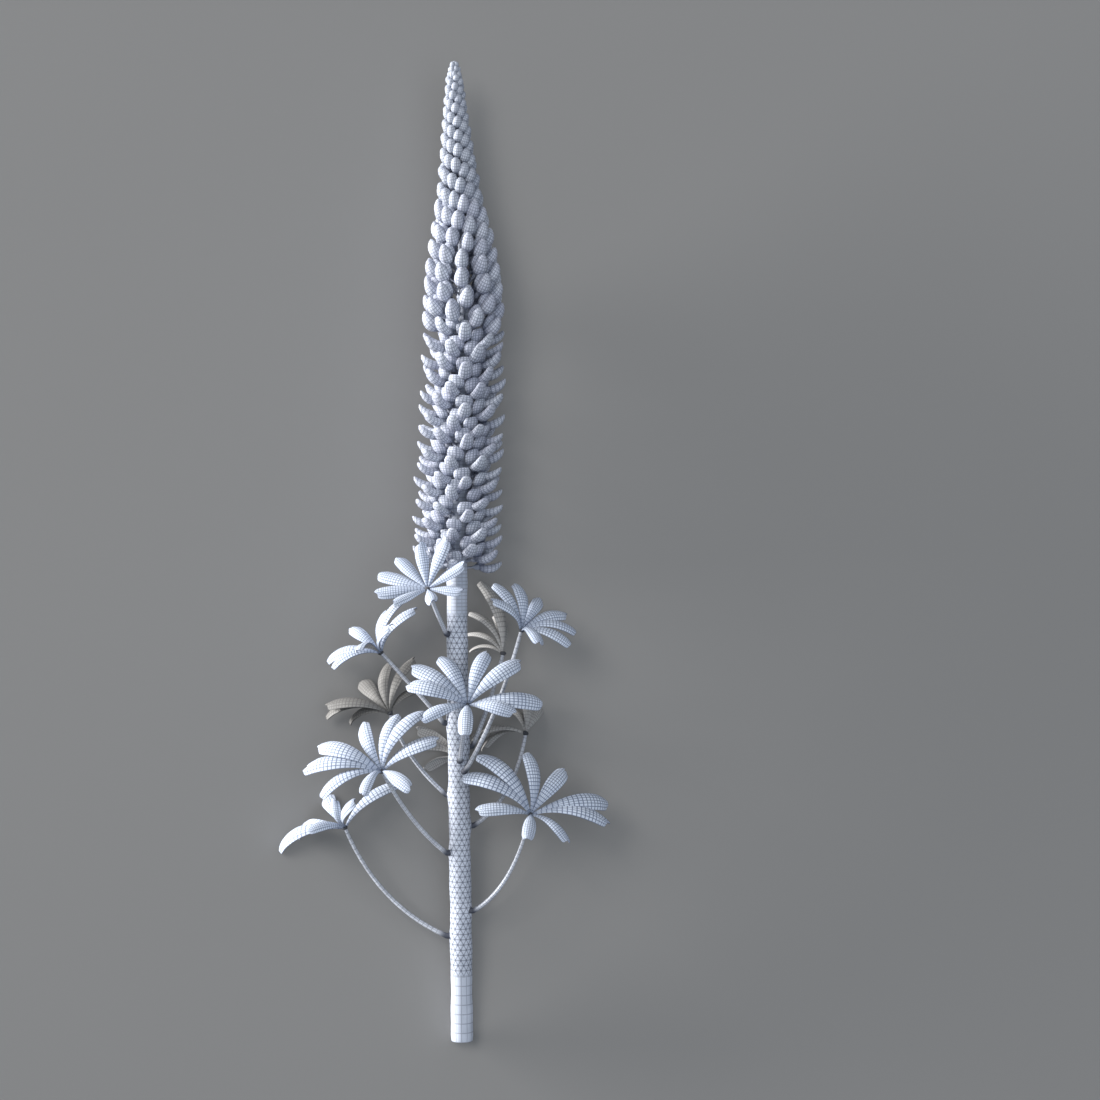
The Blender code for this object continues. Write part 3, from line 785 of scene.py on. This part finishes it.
def set_open_floret(blank, y, degrees):
    foot = axis_radius(y)
    size = (reach_at(y) - foot) / OPEN_FLORET_LENGTH * dice.uniform(0.94, 1.0)
    lean = blend(70, 84, min(1.0, (OPENING_Y - y) / 110)) + dice.uniform(-7, 7)
    return set_floret(blank, y, degrees + dice.uniform(-3, 3), lean, foot, (size,) * 3)


def make_flowers():
    bud = model_bud()
    opening = model_opening_floret()
    # painted shade on the stalks, all over
    stalk = paint_shade(model_stalk(), lambda p: STALK_SHADE)
    open_ones = [model_open_floret(lean) for lean in (-0.5, 0.5)]
    turns = sorted(turn for spiral in range(SPIRALS) for turn in spiral_turns(spiral))
    for number, turn in enumerate(turns, start=1):
        middle = turn[len(turn) // 2][0]
        stage = "open" if middle < OPENING_Y else "opening" if middle < BUDS_Y else "buds"
        node = f"buds_{number:02d}" if stage == "buds" else f"{stage}_florets_{number:02d}"
        florets = []
        for y, degrees in turn:
            if y < OPENING_Y:
                florets.append(set_open_floret(dice.choice(open_ones), y, degrees))
            elif y < BUDS_Y:
                florets += set_opening_floret(opening, stalk, y, degrees)
            else:
                florets += set_bud(bud, stalk, y, degrees)
        piece = laid(join(florets))
        slot = "bud" if stage == "buds" else "floret"
        dress(piece, slot)
        hand_in(piece, f"{stage}_flowers_turn_{number:02d}", slot, node)
    tip = []
    for count, first, low, lean, out_at, wide, tall in TIP_RINGS:
        for k in range(count):
            degrees = first + k * 360 / count
            tip.append(set_floret(bud, SPIKE_TOP_Y + low, degrees, lean, out_at, (wide, wide, tall)))
    piece = laid(join(tip))
    dress(piece, "bud")
    hand_in(piece, "tip_bud_cluster", "bud", "tip_bud")
    for blank in (bud, opening, stalk, *open_ones):
        bpy.data.objects.remove(blank)


# ---------------------------------------------------------------- stem

CUT_TAPER = 0.965
SCAR_REACH = 3.2
SCAR_SPREAD = 8.0
SCAR_RISE = 1.1


def make_stem():
    stem = rod(STEM_SIDES, STEM_ROWS)
    shapes = []
    for i in range(STEM_ROWS + 1):
        y = SPIKE_TOP_Y * i / STEM_ROWS
        wave = 1 + 0.025 * math.sin(y / 9.0) + 0.018 * math.sin(y / 3.7 + 1.0) if y < SPIKE_BASE_Y else 1.0
        radius = axis_radius(y) * (CUT_TAPER if i == 0 else wave)
        middle = axis_point(y)
        shapes.append(((middle.x, -middle.z, y), (radius, radius, 0)))
    shape_rows(stem, 2, shapes)
    stem.data.transform(Matrix.Rotation(-math.pi / 2, 4, "X"))
    # painted shade on the flower axis among the florets, growing to full among the buds
    paint_shade(stem, lambda p: blend(0.2, 1.0, max(0.0, (p.y - BUDS_Y) / 20)) if p.y > FIRST_FLORET_Y else 0.0)
    take_up(stem)
    bpy.ops.object.mode_set(mode="EDIT")
    for leaf in LEAVES:
        height, side = leaf["foot"]
        out = round_the_axis(side)
        foot = axis_point(height) + out * axis_radius(height)
        shape = bmesh.from_edit_mesh(stem.data)
        near = [vertex.index for vertex in shape.verts if (vertex.co - foot).length < SCAR_REACH]
        choose_points(stem, near)
        bpy.ops.transform.translate(
            value=tuple(out * SCAR_RISE + UP_THE_SPIKE * 0.3), use_proportional_edit=True,
            proportional_edit_falloff="SMOOTH", proportional_size=SCAR_SPREAD)
    bpy.ops.object.mode_set(mode="OBJECT")
    take_up(stem)
    bpy.ops.object.mode_set(mode="EDIT")
    bpy.ops.mesh.select_all(action="DESELECT")
    shape = bmesh.from_edit_mesh(stem.data)
    for face in shape.faces:
        face.select = face.calc_center_median().y < 0.01
    bmesh.update_edit_mesh(stem.data)
    bpy.ops.mesh.inset(thickness=CUT_RIND, depth=0.0)
    bpy.ops.mesh.inset(thickness=CUT_RIND / 2, depth=-CUT_RIND)
    bpy.ops.object.mode_set(mode="OBJECT")
    laid(stem)
    dress(stem, "stem")
    smooth(stem, 60)
    hand_in(stem, "stem_and_flower_axis", "stem", "stem")


# ---------------------------------------------------------------- leaves

def curve_point(a, b, c, t):
    return a.lerp(b, t).lerp(b.lerp(c, t), t)


def make_petiole(number, leaf):
    """A leaf's stalk: swollen where it leaves the stem, thin and round up to the hub."""
    height, side = leaf["foot"]
    out = round_the_axis(side)
    foot = axis_point(height) + out * (axis_radius(height) - PETIOLE_SINK)
    stand = foot + out * PETIOLE_STAND
    bend, hub = Vector(leaf["bend"]), Vector(leaf["hub"])
    run = PETIOLE_STEPS - 1
    points = [foot] + [curve_point(stand, bend, hub, i / run) for i in range(PETIOLE_STEPS)]
    radii = [PETIOLE_RADIUS * (1.15 - 0.25 * i / PETIOLE_STEPS) for i in range(len(points))]
    radii[:2] = PETIOLE_FOOT_RADIUS, PETIOLE_COLLAR_RADIUS
    put_down()
    bpy.ops.curve.primitive_bezier_curve_add()
    stalk = bpy.context.object
    stalk.location = (0, 0, 0)
    stalk.data.splines.clear()
    spline = stalk.data.splines.new("POLY")
    spline.points.add(len(points) - 1)
    for spot, point, radius in zip(spline.points, points, radii):
        spot.co = (*point, 1)
        spot.radius = radius
    stalk.data.bevel_depth = 1.0
    stalk.data.bevel_resolution = 2
    stalk.data.use_fill_caps = True
    take_up(stalk)
    bpy.ops.object.convert(target="MESH")
    stalk = bpy.context.object
    settle_place(stalk)
    laid(stalk)
    dress(stalk, "petiole")
    smooth(stalk, 50)
    hand_in(stalk, f"leaf_stalk_{number:02d}", "petiole", f"petiole_{number:02d}")


def model_leaflet(slant, notch):
    """A flat-laid leaflet one unit long: z along it, x across, its top face towards -y."""
    put_down()
    bpy.ops.mesh.primitive_grid_add(x_subdivisions=LEAFLET_COLUMNS, y_subdivisions=LEAFLET_ROWS, size=1,
                                    location=(0, 0, 0.5), rotation=(math.pi / 2, 0, 0))
    leaflet = bpy.context.object
    settle_place(leaflet)
    take_up(leaflet)
    columns = rows_along(leaflet, 0)
    bpy.ops.object.mode_set(mode="EDIT")
    for i, column in enumerate(columns):
        away = abs(2 * i / LEAFLET_COLUMNS - 1)
        choose_points(leaflet, column)
        drop = LEAFLET_CROWN * away ** 2 + (LEAFLET_MIDRIB if away < 0.01 else 0)
        bpy.ops.transform.translate(value=(0, drop, 0))
    bpy.ops.object.mode_set(mode="OBJECT")
    rows = rows_along(leaflet, 2)
    bpy.ops.object.mode_set(mode="EDIT")
    for i, row in enumerate(rows):
        even = i / LEAFLET_ROWS
        t = 1 - (1 - even) ** LEAFLET_CROWDING
        choose_points(leaflet, row)
        bpy.ops.transform.translate(value=(0, 0, t - even))
        width = LEAFLET_WIDTH * read_outline(LEAFLET_SHAPE, t)
        crown = min(1.0, 0.45 + 0.8 * t)
        bpy.ops.transform.resize(value=(width, crown, 1), center_override=(0, 0, t))
    bpy.ops.object.mode_set(mode="OBJECT")
    if slant:
        nudge(leaflet, lambda p: p.z > 0.85 and p.x * slant > 0.5, (0, 0, -0.035))
        nudge(leaflet, lambda p: p.z > 0.93 and p.x * slant < -0.3, (0, 0, 0.025))
    if notch:
        nudge(leaflet, lambda p: p.z > 0.95 and abs(p.x) < 1.2, (0, 0, -0.05))
    return leaflet


def set_leaflet(blank, leaf, tip):
    """Cuts a copy to length, arches it, and sets it between the hub and its tip."""
    hub = Vector(leaf["hub"])
    tip = Vector(tip)
    arch = leaf["arch"] * dice.uniform(0.85, 1.15)
    turn = 4 * math.atan(2 * arch)
    length = tip.length * turn / (2 * math.sin(turn / 2))
    leaflet = copy_of(blank)
    fullness = (tip.length / LEAFLET_FULL_LENGTH) ** LEAFLET_NARROWING
    wide = min(1.05, fullness) * dice.uniform(0.93, 1.04)
    leaflet.data.transform(Matrix.Diagonal((wide, 1, length, 1)))
    apply_modifier(leaflet, "SIMPLE_DEFORM", deform_method="BEND", deform_axis="X", angle=turn)
    chord = tip.normalized()
    facing = Vector(leaf["facing"]).normalized()
    top = (facing - chord * facing.dot(chord)).normalized()
    top.rotate(Matrix.Rotation(math.radians(dice.uniform(-10, 10)), 3, chord))
    across = chord.cross(top)
    half = turn / 2
    y_way = chord * math.sin(half) - top * math.cos(half)
    z_way = chord * math.cos(half) + top * math.sin(half)
    place = Matrix((across, y_way, z_way)).transposed().to_4x4()
    place.translation = hub
    leaflet.data.transform(place)
    for vertex in leaflet.data.vertices:
        height = vertex.co.z - LEAFLET_THICKNESS - TABLE_GAP
        if height < SETTLE_HEIGHT:
            settled = SETTLE_HEIGHT * math.exp(height / SETTLE_HEIGHT - 1)
            vertex.co.z = settled + LEAFLET_THICKNESS + TABLE_GAP
    return leaflet


def model_hub(leaf):
    """The small button where the leaflets meet."""
    hub = ball(10, 6)
    shape_rows(hub, 2, (
        ((0, 0, -2.6), (0, 0, 0)),
        ((0, 0, -1.9), (1.3, 1.3, 0)),
        ((0, 0, -0.8), (1.9, 1.9, 0)),
        ((0, 0, 0.2), (2.3, 2.3, 0)),
        ((0, 0, 0.9), (1.8, 1.8, 0)),
        ((0, 0, 1.2), (0.9, 0.9, 0)),
        ((0, 0, 1.1), (0, 0, 0))))
    facing = Vector(leaf["facing"]).normalized()
    turned = facing.to_track_quat("Z", "Y").to_matrix().to_4x4()
    hub.data.transform(Matrix.Translation(Vector(leaf["hub"])) @ turned)
    return hub


def make_leaf(number, leaf, blanks):
    leaflets = [set_leaflet(dice.choice(blanks), leaf, tip) for tip in leaf["tips"]]
    fan = join(leaflets)
    tone = leaf["tone"]
    # lit leaves get the painted-shade underside; leaves in painted shade get their shade on both faces
    dress(fan, tone, "under" if tone == "lit" else tone)
    apply_modifier(fan, "SOLIDIFY", thickness=LEAFLET_THICKNESS, offset=-1,
                   material_offset=1, material_offset_rim=0)
    hub = model_hub(leaf)
    dress(hub, "hub")
    fan = join([fan, hub])
    laid(fan)
    smooth(fan, 45)
    hand_in(fan, f"leaf_fan_{number:02d}", "leaflet", f"leaflets_{number:02d}")


def make_leaves():
    kinds = ((0, False), (1, False), (-1, False), (1, True))
    blanks = [model_leaflet(slant, notch) for slant, notch in kinds]
    for number, leaf in enumerate(LEAVES, start=1):
        make_petiole(number, leaf)
        make_leaf(number, leaf, blanks)
    for blank in blanks:
        bpy.data.objects.remove(blank)


# ---------------------------------------------------------------- the table, the lights and the camera

TABLE_TONES = ((0.252, 0.248, 0.244), (0.249, 0.245, 0.241))
TABLE_SIZE = 6.0
LAMPS_FACE = (0.02, 0.0, 0.03)
SKY_COLOUR = (0.78, 0.87, 1.0, 1)
SKY_STRENGTH = 0.26
LENS = 70.0
SENSOR = 36.0
FIELD = 0.825
MIDDLE_OF_VIEW = (0.06825, 0.3735, 0.033)


def make_table():
    put_down()
    bpy.ops.mesh.primitive_plane_add(size=TABLE_SIZE, location=(0, 0, 0))
    table = bpy.context.object
    table.name = "table_top"
    made = bpy.data.materials.new("table paper")
    made.use_nodes = True
    tree = made.node_tree
    shader = tree.nodes["Principled BSDF"]
    tone = mix_colour(tree, soft_step(tree, grain(tree, 3.0), 0.3, 0.7), *TABLE_TONES)
    tree.links.new(tone, shader.inputs["Base Color"])
    shader.inputs["Roughness"].default_value = 0.9
    shader.inputs["Specular IOR Level"].default_value = 0.1
    table.data.materials.append(made)


def add_light(name, place, size, energy, colour):
    light = bpy.data.lights.new(name, "AREA")
    light.shape = "RECTANGLE"
    light.size, light.size_y = size
    light.energy = energy
    light.color = colour
    lamp = bpy.data.objects.new(name, light)
    bpy.context.scene.collection.objects.link(lamp)
    lamp.location = place
    lamp.rotation_mode = "QUATERNION"
    lamp.rotation_quaternion = (Vector(place) - Vector(LAMPS_FACE)).to_track_quat("Z", "Y")


def make_lights():
    add_light("key lamp", (-3.0, 3.0, 6.6), (3.8, 3.8), 235, (1.0, 0.98, 0.95))
    add_light("side lamp", (-5.2, 1.5, 0.32), (3.6, 0.5), 820, (1.0, 0.99, 0.97))
    add_light("sky lamp", (1.6, -0.3, 5.0), (5.0, 5.0), 110, (0.86, 0.93, 1.0))
    sky = bpy.data.worlds.new("studio")
    bpy.context.scene.world = sky
    sky.use_nodes = True
    glow = sky.node_tree.nodes["Background"]
    glow.inputs["Color"].default_value = SKY_COLOUR
    glow.inputs["Strength"].default_value = SKY_STRENGTH
    bpy.context.scene.view_settings.view_transform = "Standard"


def make_camera():
    camera = bpy.data.cameras.new("camera")
    camera.sensor_width = SENSOR
    camera.lens = LENS
    holder = bpy.data.objects.new("camera", camera)
    bpy.context.scene.collection.objects.link(holder)
    holder.location = Vector(MIDDLE_OF_VIEW) + SHIFT + Vector((0, 0, FIELD * LENS / SENSOR))
    bpy.context.scene.camera = holder


make_stem()
make_flowers()
make_leaves()
make_table()
make_lights()
make_camera()
